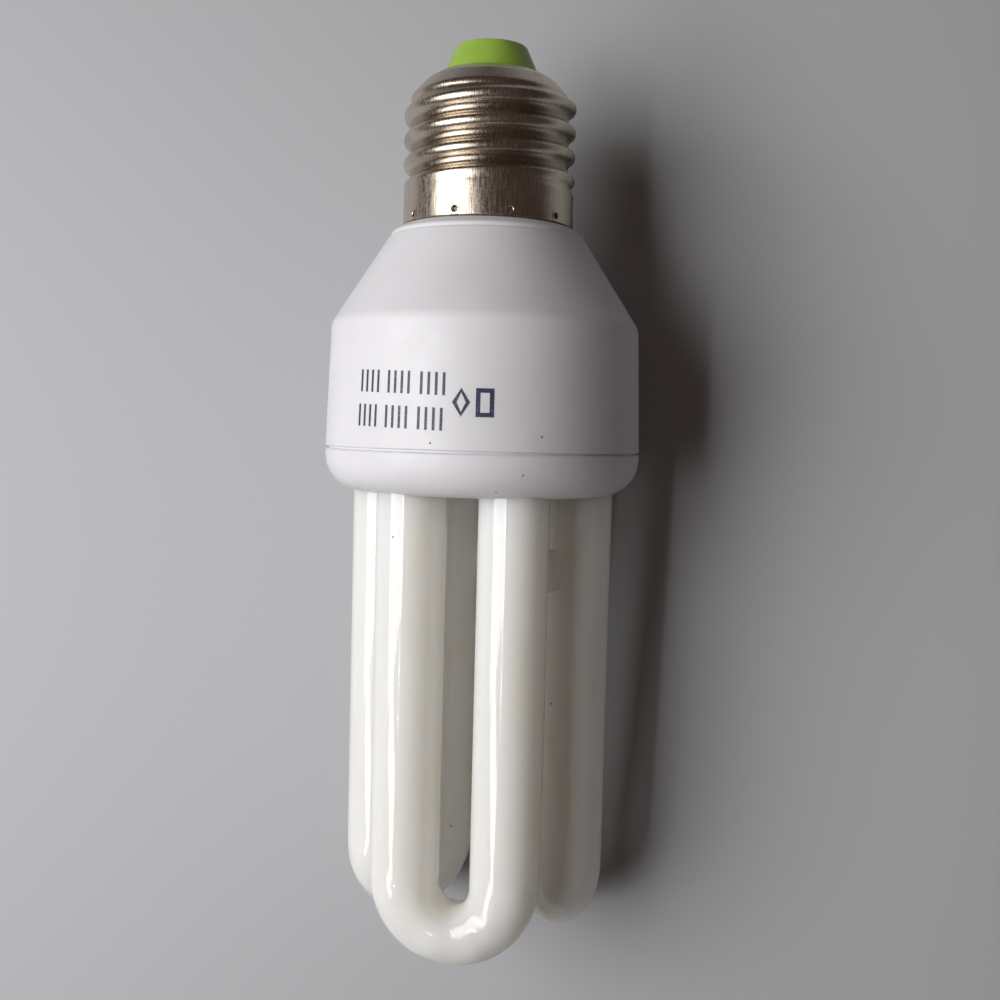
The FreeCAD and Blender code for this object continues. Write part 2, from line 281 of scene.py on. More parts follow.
# %% Masks by place
def near_points(material, vector, points, size, full_size=None):
    """A mask that is 1 on round specks at some places, and 0 elsewhere."""
    mask = None
    for point in points:
        away = node(material, "VectorMath", {0: vector, 1: point}, operation="DISTANCE")
        speck = ranged(material, away.outputs["Value"], full_size or size * 0.6, size, 1.0, 0.0)
        mask = speck if mask is None else calc(material, "MAXIMUM", mask, speck)
    return mask


def flattened(material, vector):
    """The place moved along the axis to height 0."""
    return node(material, "VectorMath", {0: vector, 1: (1, 1, 0)}, operation="MULTIPLY").outputs["Vector"]


def radius_from_axis(material, vector):
    """How far a place is from the lamp's axis, in millimetres."""
    flat = flattened(material, vector)
    return node(material, "VectorMath", {0: flat}, operation="LENGTH").outputs["Value"]


def height_on_axis(material, vector):
    """How far up the lamp a place is, in millimetres."""
    return node(material, "SeparateXYZ", {"Vector": vector}).outputs["Z"]


# %% [markdown]
# ## The finish of the housing
#
# The housing is moulded in white plastic with a satin skin. It isn't pure white: light that enters
# the plastic gives it a faint lilac tone, and the mould leaves a very fine grain. The grain is a
# bump of about a hundredth of a millimetre, which is just enough to soften the reflections.
#
# Making and use leave their traces: a few dark specks, and brown traces of cement round two of the legs.
# A dark line where the cap meets the lip is painted shade, and pale specks along the seam are painted
# highlights that stand for its glints. Each is a mask from 0 to 1 at its own place, and mixes another
# colour into the white.

# %% Where the housing is soiled, and where shade and glints are painted
drum_skin = 24.05
housing_specks = [
    around(drum_skin, -5.8, 1.0),
    around(drum_skin, 31.1, 2.2),
    around(23.73, 25.2, -3.1),
    around(21.82, 16.8, -5.6),
]
# Pale specks along the seam are painted highlights, which stand for glints on its edge.
seam_glints = [around(drum_skin, degrees, -0.3) for degrees in (-5.7, 17, 21, 24, 38, 41, 55)]
speck_size, glint_size = 0.19, 0.13
shade_line_edge, shade_line_level = (13.05, 13.25), (33.2, 33.35)
leg_ring_radius, leg_radius = 15.16, 5.19
soiled_legs = [around(leg_ring_radius, degrees) for degrees in (-30, -90)]
cement_edge, cement_level = (0.2, 0.55), (-6.3, -5.9)


def dirt_and_shade_mask(material, vector):
    """Specks, a little fine dust, and a dark line of painted shade under the cap."""
    specks = near_points(material, vector, housing_specks, speck_size)
    fine_dust = ranged(material, noise(material, vector, 0.5, 2), 0.76, 0.82, 0.0, 0.35)
    # The dark line where the cap meets the lip is painted shade in that narrow recess.
    under_cap = ranged(material, radius_from_axis(material, vector), *shade_line_edge, 0.85, 0.0)
    at_lip = ranged(material, height_on_axis(material, vector), *shade_line_level)
    dirt = calc(material, "MAXIMUM", specks, fine_dust)
    return calc(material, "MAXIMUM", dirt, calc(material, "MULTIPLY", under_cap, at_lip))


def cement_mask(material, vector):
    """Traces of cement, where two of the legs come out of the housing."""
    full_size, size = (leg_radius + edge for edge in cement_edge)
    close = near_points(material, flattened(material, vector), soiled_legs, size, full_size)
    low = ranged(material, height_on_axis(material, vector), *cement_level, 1.0, 0.0)
    patchy = ranged(material, noise(material, vector, 0.8, 3), 0.4, 0.6)
    traces = calc(material, "MULTIPLY", calc(material, "MULTIPLY", close, low), patchy)
    return calc(material, "MULTIPLY", traces, 0.5)


print("specks and scuffs on the housing:", len(housing_specks) + len(seam_glints))

# %% White plastic
white_plastic_colour = (0.81, 0.80, 0.83)
aged_plastic_colour = (0.775, 0.765, 0.795)
speck_and_shade_colour = (0.15, 0.125, 0.10)
cement_trace_colour = (0.30, 0.24, 0.17)
painted_glint_colour = (0.97, 0.96, 0.94)


def white_plastic():
    material, shader = finish("white_plastic", white_plastic_colour, 0.42, Specular_IOR_Level=0.42)
    scattering(shader, 0.15, (1.0, 0.9, 0.8), 1.2)
    place_mm = upright(material)
    clouds = ranged(material, noise(material, place_mm, 9.0, 4), 0.35, 0.75)
    tone = mixed(material, clouds, white_plastic_colour, aged_plastic_colour)
    # Specks and dust are dirt; the dark line under the cap is painted shade.
    tone = mixed(material, dirt_and_shade_mask(material, place_mm), tone, speck_and_shade_colour)
    tone = mixed(material, cement_mask(material, place_mm), tone, cement_trace_colour)
    # The pale specks on the seam are painted highlights.
    glints = near_points(material, place_mm, seam_glints, glint_size)
    coloured(material, shader, mixed(material, glints, tone, painted_glint_colour))
    roughened(material, shader, ranged(material, noise(material, place_mm, 3.0), 0.3, 0.7, 0.36, 0.5))
    bumped(material, shader, noise(material, place_mm, 0.22, 2), 0.012)
    return material


plastic = white_plastic()
print("made", plastic.name)

# %% [markdown]
# ## The upper half of the housing
#
# The upper half is one moulding: a drum with a little draft so that it leaves its mould, a cone,
# a lip, and a neck that the cap is crimped to. It could be a subdivided cage, but an outline with
# rounded corners keeps the cone and the drum truly straight, and the soft ridge between them gets
# the radius that the photograph shows. The outline goes up the outside and comes down the inside,
# where a wider seat takes the skirt of the lower half.

# %% Upper housing
wall = 1.6
drum_radius, drum_top_radius, drum_height = 24.09, 23.44, 18.6
cone_top, lip_radius, lip_top = 31.9, 14.75, 33.45
neck_radius, neck_top = 12.55, 38.15
neck_bore, bore_base = neck_radius - wall, 34.4
hollow_radius, hollow_top = 21.25, 20.2
seat_radius, seat_top = 22.3, 5.6


def upper_housing():
    outline = rounded([
        (drum_radius - wall, 0, 0.15),
        (drum_radius, 0, 0.25),
        (drum_top_radius, drum_height, 3.0),
        (lip_radius + 0.25, cone_top - 0.15, 0.12),
        (lip_radius, cone_top, 0.12),
        (lip_radius - 0.1, lip_top - 0.95, 0.6),
        (neck_radius + 0.55, lip_top, 0.25),
        (neck_radius, lip_top, 0.1),
        (neck_radius, neck_top, 0.15),
        (neck_bore, neck_top, 0.15),
        (neck_bore, bore_base, 1.0),
        (hollow_radius, hollow_top, 0.6),
        (hollow_radius, seat_top, 0.2),
        (seat_radius, seat_top, 0.2),
    ], closed=True)
    return place(spun(outline, True, 160), "upper_housing_shell", ["upper_housing"],
                 plastic)


upper_housing()

# %% [markdown]
# ## The lower half of the housing
#
# The lower half is a shallow cup with a wide round edge. A skirt on it slides into the upper half,
# and a narrow groove stays open round the seam. Six holes let the legs of the tubes through. The
# holes run out into the round edge, where a flat cut would look wrong, so the cup is spun whole
# and then drilled by a Boolean modifier with six bars.

# %% Bars that drill the holes
leg_angles = [60 * i - 30 for i in range(6)]


def leg_bars(radius, low, high):
    """Upright bars at the places of the six legs."""
    bm = bmesh.new()
    for degrees in leg_angles:
        centre = around(leg_ring_radius, degrees, (low + high) / 2)
        bmesh.ops.create_cone(bm, cap_ends=True, segments=72, radius1=radius, radius2=radius,
                              depth=high - low, matrix=Matrix.Translation(centre))
    return bm


def drilled(piece, bars):
    """Cuts some bars out of a piece, and keeps the result as the piece's own mesh."""
    bmesh.ops.transform(bars, matrix=at_rest, verts=bars.verts)
    drill_mesh = bpy.data.meshes.new("drill")
    bars.to_mesh(drill_mesh)
    bars.free()
    drill = bpy.data.objects.new("drill", drill_mesh)
    bpy.context.collection.objects.link(drill)
    cut = piece.modifiers.new("holes", "BOOLEAN")
    cut.operation = "DIFFERENCE"
    cut.object = drill
    cut.solver = "EXACT"
    seen = bpy.context.evaluated_depsgraph_get()
    result = bpy.data.meshes.new_from_object(piece.evaluated_get(seen))
    piece.modifiers.remove(cut)
    piece.data = result
    bpy.data.objects.remove(drill)
    result.set_sharp_from_angle(angle=sharp_above)
    print(piece.name, "is drilled and has", len(result.polygons), "faces")


# %% Lower housing
cup_depth, cup_round, plate = 6.65, 5.5, 2.0
groove_height, groove_depth = 0.32, 0.5
skirt_radius, skirt_bore, skirt_height = 22.25, 20.95, 4.0
hole_fit = 0.25
drill_start, drill_end = -cup_depth - 1, 2 * plate - cup_depth + 0.15


def lower_housing():
    outline = rounded([
        (0, -cup_depth, 0),
        (drum_radius, -cup_depth, cup_round),
        (drum_radius, -groove_height, 0.18),
        (drum_radius - groove_depth, -groove_height, 0.08),
        (drum_radius - groove_depth, 0, 0),
        (skirt_radius, 0, 0),
        (skirt_radius, skirt_height, 0.2),
        (skirt_bore, skirt_height, 0.2),
        (skirt_bore, plate - cup_depth + plate, 0),
        (skirt_bore - plate, plate - cup_depth, 0),
        (0, plate - cup_depth, 0),
    ], closed=False)
    piece = place(spun(outline, False, 160), "lower_housing_cup", ["lower_housing"],
                  plastic)
    drilled(piece, leg_bars(leg_radius + hole_fit, drill_start, drill_end))


lower_housing()

# %% [markdown]
# ## The discharge tube
#
# Three glass tubes are each bent into a U. A gas flame then fuses them together: where two legs
# stand side by side, the soft glass is blown through and drawn into a short hollow neck, so that
# all three form one long discharge path. A cage with few faces and two levels of subdivision
# suits glass well, because it gives the even curvature that blown glass has.
#
# A ring of edges is drawn out along a leg, spun round the bend, and drawn out again. Subdivision
# pulls a ring of straight edges inwards a little, so the cage is made wider by that share.

# %% Three U tubes
columns = 24
column_angle = 360 / columns
cage_radius = leg_radius * 3 / (2 + math.cos(math.radians(column_angle)))
bend_radius = leg_ring_radius * math.sin(math.radians(30))
tube_plane = leg_ring_radius * math.cos(math.radians(30))
tube_reach = 75.95
bend_level, bend_steps = bend_radius + leg_radius - tube_reach, 14
leg_top = 0.65
neck_level, neck_row, rows_beside_neck = -17.8, 1.2, 5
neck_rows = [neck_level + neck_row * i for i in range(rows_beside_neck, -rows_beside_neck - 1, -1)]
leg_rows = [-1.2, -7.0] + neck_rows + [-30.0, -40.0, -50.0, -58.0, bend_level]


def unique(items):
    """Each item once, in the order in which it first comes, so that every run is the same."""
    return list(dict.fromkeys(items))


def drawn_out(bm, ring, rise):
    """Extrudes a ring of edges along Z, and gives the new ring."""
    made = bmesh.ops.extrude_edge_only(bm, edges=ring)["geom"]
    verts = [item for item in made if isinstance(item, bmesh.types.BMVert)]
    bmesh.ops.translate(bm, verts=verts, vec=(0, 0, rise))
    return [item for item in made if isinstance(item, bmesh.types.BMEdge)
            and all(vert in verts for vert in item.verts)]


def u_tube(bm):
    """Adds one U to the mesh: down a leg, round the bend, and up the other leg."""
    start = Matrix.Translation((tube_plane, -bend_radius, leg_top))
    verts = bmesh.ops.create_circle(bm, segments=columns, radius=cage_radius, matrix=start)["verts"]
    ring = unique(edge for vert in verts for edge in vert.link_edges)
    top_ring = ring
    level = leg_top
    for row in leg_rows:
        ring = drawn_out(bm, ring, row - level)
        level = row
    spin = bmesh.ops.spin(bm, geom=ring + unique(vert for edge in ring for vert in edge.verts),
                          cent=(tube_plane, 0, bend_level), axis=(1, 0, 0),
                          angle=math.pi, steps=bend_steps)["geom_last"]
    ring = [item for item in spin if isinstance(item, bmesh.types.BMEdge)]
    for row in leg_rows[-2::-1] + [leg_top]:
        ring = drawn_out(bm, ring, row - level)
        level = row
    return top_ring, ring


print("rows of edges down a leg:", len(leg_rows))

# %% [markdown]
# A tube doesn't keep its round section when it is bent: it flattens on the inside of the bend. So
# the points on that side move outwards, most of all at the very bottom.

# %% Squeeze the bends and gather the three tubes
bend_squeeze = 1.6


def squeeze_bend(verts):
    """Moves the inside of a bend outwards, and leaves its outside where it is."""
    for vert in verts:
        spoke = Vector((0, vert.co.y, vert.co.z - bend_level))
        inside = (bend_radius - spoke.length) / cage_radius
        if spoke.z < 0 < inside:
            outward = spoke.normalized()
            vert.co += outward * bend_squeeze * inside ** 1.5 * outward.z ** 2


def tube_cage():
    bm = bmesh.new()
    for middle in (0, 120, 240):
        before = set(bm.verts)
        for ring in u_tube(bm):
            bmesh.ops.contextual_create(bm, geom=ring)
        new = [vert for vert in bm.verts if vert not in before]
        squeeze_bend(new)
        turned_by = Matrix.Rotation(math.radians(middle), 3, "Z")
        bmesh.ops.rotate(bm, verts=new, cent=(0, 0, 0), matrix=turned_by)
    bmesh.ops.recalc_face_normals(bm, faces=bm.faces)
    print("the cage has", len(bm.faces), "faces")
    return bm


cage = tube_cage()

# %% [markdown]
# ## The fused necks
#
# Where a neck leaves a leg, a square patch of the cage is taken out and its edge is eased into a
# circle, so that the faces round it run evenly. The two open edges face each other across the
# gap, and a bridge of new faces joins them. The rings of the bridge are pushed out into a bead that
# is taller than it is wide, and the subdivision gives it the melted look of a fused joint.

# %% Open the legs for the necks
patch_half = 3
neck_radius_at_leg, neck_flatness = 2.9, 0.75
ease = {3: 1.0, 4: 0.55, 5: 0.2}
ease_step = 1.3


def circle_angle(i, j):
    """Where a point on the edge of a square goes on a circle, in degrees."""
    if abs(i) >= abs(j):
        return 45 * j / i + (180 if i < 0 else 0)
    return 90 - 45 * i / j + (180 if j < 0 else 0)


def open_leg(bm, leg, towards):
    """Opens a round hole in a leg, on the side that faces the next leg, and gives its edge."""
    centre = around(leg_ring_radius, leg)
    facing = (around(leg_ring_radius, towards) - centre).normalized()
    sideways = Vector((0, 0, 1)).cross(facing)
    grid = {}
    grid_reach = (rows_beside_neck + 0.5) * neck_row
    for vert in bm.verts:
        away = Vector((vert.co.x, vert.co.y, 0)) - centre
        if away.length > cage_radius * 1.2 or abs(vert.co.z - neck_level) > grid_reach:
            continue
        turned_by = math.degrees(math.atan2(away.dot(sideways), away.dot(facing)))
        grid[vert] = (round(turned_by / column_angle), round((vert.co.z - neck_level) / neck_row))
    inside = [vert for vert, (i, j) in grid.items() if max(abs(i), abs(j)) < patch_half]
    bmesh.ops.delete(bm, geom=inside, context="VERTS")
    for vert, (i, j) in grid.items():
        reach = max(abs(i), abs(j))
        if not vert.is_valid or reach not in ease:
            continue
        spread = neck_radius_at_leg + (reach - patch_half) * ease_step
        bearing = math.radians(circle_angle(i, j))
        flat = Vector((math.radians(i * column_angle) * cage_radius, j * neck_row))
        goal = Vector((math.cos(bearing) * neck_flatness, math.sin(bearing))) * spread
        across, rise = flat.lerp(goal, ease[reach])
        turned_by = across / cage_radius
        side = facing * math.cos(turned_by) + sideways * math.sin(turned_by)
        vert.co = centre + side * cage_radius + Vector((0, 0, neck_level + rise))
    rim = {vert for vert, (i, j) in grid.items() if vert.is_valid and max(abs(i), abs(j)) == patch_half}
    return [edge for edge in bm.edges if edge.is_boundary and set(edge.verts) <= rim]


print("rings that ease the square into a circle:", len(ease))

# %% Join the legs and finish the tube
neck_bead, bead_fall = 3.5, 0.2


def fuse(bm, leg, towards):
    """Joins two neighbouring legs by a neck."""
    rims = open_leg(bm, leg, towards) + open_leg(bm, towards, leg)
    bridge = bmesh.ops.bridge_loops(bm, edges=rims)
    across = [edge for edge in bridge["edges"] if edge.is_valid]
    middle = (around(leg_ring_radius, leg) + around(leg_ring_radius, towards)) / 2
    facing = (around(leg_ring_radius, towards) - around(leg_ring_radius, leg)).normalized()
    cuts = bmesh.ops.subdivide_edges(bm, edges=across, cuts=3, use_grid_fill=False)
    for vert in {item for item in cuts["geom_inner"] if isinstance(item, bmesh.types.BMVert)}:
        away = vert.co - middle - Vector((0, 0, neck_level))
        along = away.dot(facing)
        spoke = (away - facing * along).normalized() * (neck_bead - bead_fall * along ** 2)
        rim = Vector((spoke.x * neck_flatness, spoke.y * neck_flatness, spoke.z + neck_level))
        vert.co = middle + facing * along + rim


def discharge_tube(material):
    for leg in (30, 150):
        fuse(cage, leg, leg + 60)
    bmesh.ops.recalc_face_normals(cage, faces=cage.faces)
    open_edges = sum(1 for edge in cage.edges if not edge.is_manifold)
    print("edges that are still open:", open_edges)
    piece = place(cage, "fused_discharge_tube", ["discharge_tube"], material)
    smooth = piece.modifiers.new("blown_glass", "SUBSURF")
    smooth.levels = smooth.render_levels = 2


# %% [markdown]
# ## The finish of the tubes
#
# The glass is clear, and what looks milky is the powder on its inside. Light passes the glass,
# scatters in the powder, and comes back white, while the smooth outside mirrors the window in
# sharp bright lines. A Principled shader does just that with a pale base, full subsurface
# scattering and a low roughness. The powder is never quite even, so a second tone clouds the first.
# Drawn glass has faint ripples along its length, and a bend has stronger ones, which break the
# bright lines up. Both are bumps, with a mask for the bend.

# %% Powder-coated glass
tube_colour = (0.885, 0.866, 0.825)
thin_powder_colour = (0.845, 0.82, 0.745)
rippled_below, smooth_above = -66.5, -61.0
tube_specks = [
    Vector((18.12, -9.0, -12.6)),
    Vector((4.45, 12.5, -38.2)),
    Vector((-8.4, -5.45, -62.8)),
]


def coated_glass():
    material, shader = finish("powder_coated_glass", tube_colour, 0.07, IOR=1.52)
    scattering(shader, 1.0, (1.0, 0.93, 0.78), 11.0)
    place_mm = upright(material)
    long_clouds = noise(material, stretched(material, place_mm, (1, 1, 0.25)), 4.0, 4)
    tone = mixed(material, ranged(material, long_clouds, 0.45, 0.8), tube_colour, thin_powder_colour)
    specks = near_points(material, place_mm, tube_specks, speck_size)
    coloured(material, shader, mixed(material, specks, tone, speck_and_shade_colour))
    roughened(material, shader, ranged(material, noise(material, place_mm, 6.0), 0.4, 0.8, 0.05, 0.11))
    height = height_on_axis(material, place_mm)
    at_bend = ranged(material, height, rippled_below, smooth_above, 1.0, 0.0)
    drawn = noise(material, stretched(material, place_mm, (1, 1, 0.12)), 2.6, 1)
    ripples = calc(material, "MULTIPLY", noise(material, place_mm, 3.6, 0), at_bend)
    waves = calc(material, "ADD", calc(material, "MULTIPLY", drawn, 0.08), ripples)
    bumped(material, shader, waves, 0.55)
    return material


discharge_tube(coated_glass())

# %% [markdown]
# ## The screw cap
#
# The cap is drawn from thin sheet and its thread is rolled in, so the thread is a smooth wave and
# not a cut groove. The wave is a formula: going once round the cap moves it up by one pitch. The
# cap is spun as a plain tube with fine rows, and each of its points is then pushed out by the
# wave. At both ends the wave fades out, towards the collar below and the shoulder above.

# %% The wave of the thread
pitch, crest_radius, thread_depth = 3.629, 13.1, 1.1
crest_height = 50.8
collar_radius, collar_top = 12.95, 38.55
thread_base = 39.45
fade_start, fade_end = 51.9, 53.3
thread_arc = ((pitch / 4) ** 2 + (thread_depth / 2) ** 2) / thread_depth


def smooth_step(low, high, value):
    """Goes from 0 to 1 between two values, gently at both ends."""
    share = min(1, max(0, (value - low) / (high - low)))
    return share * share * (3 - 2 * share)


def thread_groove(turns):
    """How far the wave lies below its crest. Crest and valley are equal arcs that meet halfway."""
    along = abs((turns + 0.5) % 1 - 0.5) * pitch
    nearer = min(along, pitch / 2 - along)
    dip = thread_arc - math.sqrt(thread_arc ** 2 - nearer ** 2)
    return dip if along < pitch / 4 else thread_depth - dip


def rolled_start(height):
    """The share of the thread that is there, just above the collar."""
    return smooth_step(collar_top - 0.1, thread_base + 1.4, height)


def thread_height(height, degrees):
    """How far the thread stands out of its root. It fades out before the shoulder."""
    wave = thread_depth - thread_groove((height - crest_height) / pitch - degrees / 360)
    return wave * rolled_start(height) * (1 - smooth_step(fade_start, fade_end, height))


print("crests and valleys are arcs with a radius of", round(thread_arc, 3), "mm")

# %% [markdown]
# The rows of the tube lie close together where it curves: at the collar's lower edge, and all
# along the thread. Solidify goes by the direction of the faces, so they are turned outwards first.

# %% Screw shell
root_radius, root_top = crest_radius - thread_depth, 52.2
slope_radius, slope_top = 9.95, 55.3
cap_top, cap_rim_radius, cap_hole = 56.28, 8.3, 7.4
sheet = 0.3
collar_gap, collar_tuck = 0.2, 0.1
collar_rows = [0, 0.12, 0.3, 0.7, 1.2, 1.7, 2.4, 3.4, 4.4]
cap_columns, row_height = 216, 0.21


def cap_rows():
    """Heights of the rows, from the collar's lower edge to the end of the thread."""
    count = math.ceil((root_top - collar_top) / row_height)
    rows = [lip_top + collar_gap + rise for rise in collar_rows]
    return rows + [collar_top + (root_top - collar_top) * i / count for i in range(count)]


def outward_share(bm):
    """The share of faces that point away from the axis."""
    outward = sum(1 for face in bm.faces
                  if face.normal.dot(face.calc_center_median() * Vector((1, 1, 0))) > 0)
    return outward / len(bm.faces)


def screw_shell(material):
    outline = []
    for row in cap_rows():
        narrowed = (root_radius - collar_radius) * rolled_start(row)
        outline.append(Vector((collar_radius + narrowed, row)))
    outline[0].x -= collar_tuck
    shoulder = rounded([
        (root_radius, root_top, 0),
        (root_radius, root_top + 0.85, 1.4),
        (slope_radius, slope_top, 1.5),
        (cap_rim_radius, cap_top, 0.5),
        (cap_hole, cap_top, 0),
    ], closed=False)
    bm = spun(outline + shoulder, False, cap_columns)
    for vert in bm.verts:
        if collar_top < vert.co.z < fade_end:
            degrees = angle_of(vert.co)
            vert.co += around(thread_height(vert.co.z, degrees), degrees)
    stake_collar(bm)
    bmesh.ops.recalc_face_normals(bm, faces=bm.faces)
    if outward_share(bm) < 0.5:
        bmesh.ops.reverse_faces(bm, faces=bm.faces)
    bmesh.ops.solidify(bm, geom=bm.faces[:], thickness=sheet)
    return place(bm, "rolled_screw_shell", ["screw_shell"], material)


# %% [markdown]
# ## The stake marks
#
# The cap is fixed to the neck by ten small pits, punched in round the collar near its lower edge.
# A pit is smaller than a face of the tube, so the faces near each pit are cut finer first. Then
# the points inside it are pushed in, and those round it are raised into a low rim.

# %% Pits round the collar
pit_count, first_pit_angle, pit_height = 10, -46.6, lip_top + 1.1
pit_radius, pit_depth, pit_rim, pit_patch = 0.5, 0.5, 0.05, 1.0
pit_angles = [first_pit_angle + 360 * i / pit_count for i in range(pit_count)]
pit_centres = [around(collar_radius - pit_depth / 2, degrees, pit_height) for degrees in pit_angles]


def stake_collar(bm):
    for degrees in pit_angles:
        centre = around(collar_radius, degrees, pit_height)
        near = [face for face in bm.faces if (face.calc_center_median() - centre).length < pit_patch]
        edges = unique(edge for face in near for edge in face.edges)
        bmesh.ops.subdivide_edges(bm, edges=edges, cuts=4, use_grid_fill=True)
        inward = -around(1, degrees)
        for vert in bm.verts:
            away = (vert.co - centre).length
            if away < pit_radius:
                vert.co += inward * pit_depth * (1 - smooth_step(0.35 * pit_radius, pit_radius, away))
            elif away < 2 * pit_radius:
                vert.co -= inward * pit_rim * (1 - smooth_step(pit_radius, 2 * pit_radius, away))


print("pits round the collar:", len(pit_centres))

# %% [markdown]
# ## The finish of the cap
#
# Nickel plating on brass looks warm and a little brown once it has aged. Drawing the cap leaves faint
# streaks along its axis, and the plating is speckled. The valleys of the thread and the pits are coloured
# darker, as painted shade. The distance from the axis finds the valleys, and the height keeps the painted
# shade off the collar and the shoulder.

# %% Aged nickel plating
nickel_colour = (0.64, 0.565, 0.475)
tarnish_colour = (0.42, 0.345, 0.265)
painted_shade_colour = (0.16, 0.12, 0.09)
valley_shade_reach, pit_shade_size = 0.4, 0.62


def nickel_plate():
    material, shader = finish("aged_nickel_plate", nickel_colour, 0.28, Metallic=1.0)
    place_mm = upright(material)
    clouds = ranged(material, noise(material, place_mm, 5.0, 5), 0.42, 0.72)
    tone = mixed(material, calc(material, "MULTIPLY", clouds, 0.7), nickel_colour, tarnish_colour)
    radius = radius_from_axis(material, place_mm)
    # Painted shade: the deepest part of each valley of the thread is coloured darker.
    valley = ranged(material, radius, root_radius, root_radius + valley_shade_reach, 0.5, 0.0)
    height = height_on_axis(material, place_mm)
    threaded = ranged(material, height, collar_top, thread_base)
    below_shoulder = ranged(material, height, fade_start - 1.5, fade_start, 1.0, 0.0)
    valley_and_pit_shade = calc(material, "MULTIPLY", valley, calc(material, "MULTIPLY", threaded, below_shoulder))
    # The pits are coloured dark too, as painted shade.
    pits = near_points(material, place_mm, pit_centres, pit_shade_size)
    valley_and_pit_shade = calc(material, "MAXIMUM", valley_and_pit_shade, calc(material, "MULTIPLY", pits, 0.8))
    coloured(material, shader, mixed(material, valley_and_pit_shade, tone, painted_shade_colour))
    streaks = noise(material, stretched(material, place_mm, (1, 1, 0.06)), 0.16, 3)
    speckle = noise(material, place_mm, 0.3, 2)
    grain = calc(material, "ADD", streaks, calc(material, "MULTIPLY", speckle, 0.5))
    roughened(material, shader, ranged(material, grain, 0.5, 1.0, 0.21, 0.38))
    bumped(material, shader, grain, 0.014)
    return material


screw_shell(nickel_plate())

# %% [markdown]
# ## The insulator and the contact
#
# A lime green plug of moulded plastic fills the end of the cap and keeps the centre contact away
# from the screw shell. The contact is a flat rivet head with a little solder on it.

# %% Green insulator
insulator_colour, deep_green_colour = (0.35, 0.55, 0.075), (0.30, 0.49, 0.06)
insulator_top, insulator_top_radius, bore = 60.68, 5.4, 1.35
flange_radius, flange, insulator_fit = 7.9, 1.2, 0.02
contact_radius, contact_recess = 3.6, 0.25


def green_insulator():
    material, shader = finish("green_plastic", insulator_colour, 0.38)
    scattering(shader, 0.2, (0.6, 1.0, 0.3), 0.8)
    place_mm = upright(material)
    clouds = ranged(material, noise(material, place_mm, 2.5, 4), 0.4, 0.75)
    coloured(material, shader, mixed(material, clouds, insulator_colour, deep_green_colour))
    bumped(material, shader, noise(material, place_mm, 0.3, 3), 0.012)
    return material


def cap_insulator():
    under_cap = cap_top - sheet
    outline = rounded([
        (bore, under_cap - flange, 0),
        (flange_radius, under_cap - flange, 0),
        (flange_radius, under_cap - insulator_fit, 0),
        (cap_hole - insulator_fit, under_cap - insulator_fit, 0),
        (cap_hole - 0.05, cap_top + 0.1, 0.1),
        (insulator_top_radius, insulator_top, 0.22),
        (contact_radius + 0.25, insulator_top, 0.1),
        (contact_radius + 0.15, insulator_top - contact_recess, 0.1),
        (bore, insulator_top - contact_recess, 0),
    ], closed=True)
    return place(spun(outline, True, 96), "insulator_plug", ["cap_insulator"],
                 green_insulator())


cap_insulator()

# %% Centre contact
solder_colour, dull_solder_colour = (0.62, 0.62, 0.60), (0.38, 0.37, 0.35)
contact_top = insulator_top + 0.4
shank_radius, shank_base = 1.3, 54.18
solder_radius, solder_peak_radius = 2.4, 1.1


def soldered_metal():
    material, shader = finish("dull_solder", solder_colour, 0.34, Metallic=1.0)
    place_mm = upright(material)
    patches = ranged(material, noise(material, place_mm, 0.9, 4), 0.35, 0.7)
    coloured(material, shader, mixed(material, patches, solder_colour, dull_solder_colour))
    roughened(material, shader, ranged(material, patches, 0, 1, 0.25, 0.5))
    bumped(material, shader, noise(material, place_mm, 0.6, 4), 0.06)
    return material


def centre_contact():
    outline = rounded([
        (0, shank_base, 0),
        (shank_radius, shank_base, 0.2),
        (shank_radius, insulator_top - contact_recess, 0),
        (contact_radius, insulator_top - contact_recess, 0.12),
        (contact_radius, contact_top - 0.1, 0.2),
        (solder_radius, contact_top - 0.05, 0.6),
        (solder_peak_radius, contact_top + 0.25, 0.8),
        (0, contact_top + 0.3, 0),
    ], closed=False)
    return place(spun(outline, False, 72), "contact_rivet", ["centre_contact"],
                 soldered_metal())


centre_contact()

# %% [markdown]
# ## The marks on the drum
#
# The drum carries a small print in dark ink, which is plain and says nothing: two rows of equal
# short bars in groups, and beside them a diamond and a box. The ink is a film that follows the
# drum, so each mark is made flat, with enough points across it, and is then bent round the axis by
# its own width.

# %% Bend a flat mark onto the drum
ink_rise = 0.03


def drum_surface(height):
    """The radius of the drum at a height."""
    return drum_radius + (drum_top_radius - drum_radius) * height / drum_height


def bent_mark(verts, degrees, height):
    """Bends a flat mark onto the drum. Its X runs round the drum and its Y runs up."""
    for vert in verts:
        level = height + vert.co.y
        radius = drum_surface(level) + ink_rise
        vert.co = around(radius, degrees + math.degrees(vert.co.x / drum_radius), level)


# %% Flat bars, a diamond and a box
bar_width, bar_height = 0.38, 3.1
sign_width, sign_height, sign_stroke = 2.5, 3.9, 0.6


def flat_bar(bm, width, height, across=0.0, up=0.0):
    """A flat bar, with enough points across it to bend."""
    shape = Matrix.Translation((across, up, 0)) @ Matrix.Diagonal((width / 2, height / 2, 1, 1))
    bends = max(2, math.ceil(width / bar_width))
    return bmesh.ops.create_grid(bm, x_segments=bends, y_segments=2, size=1, matrix=shape)["verts"]


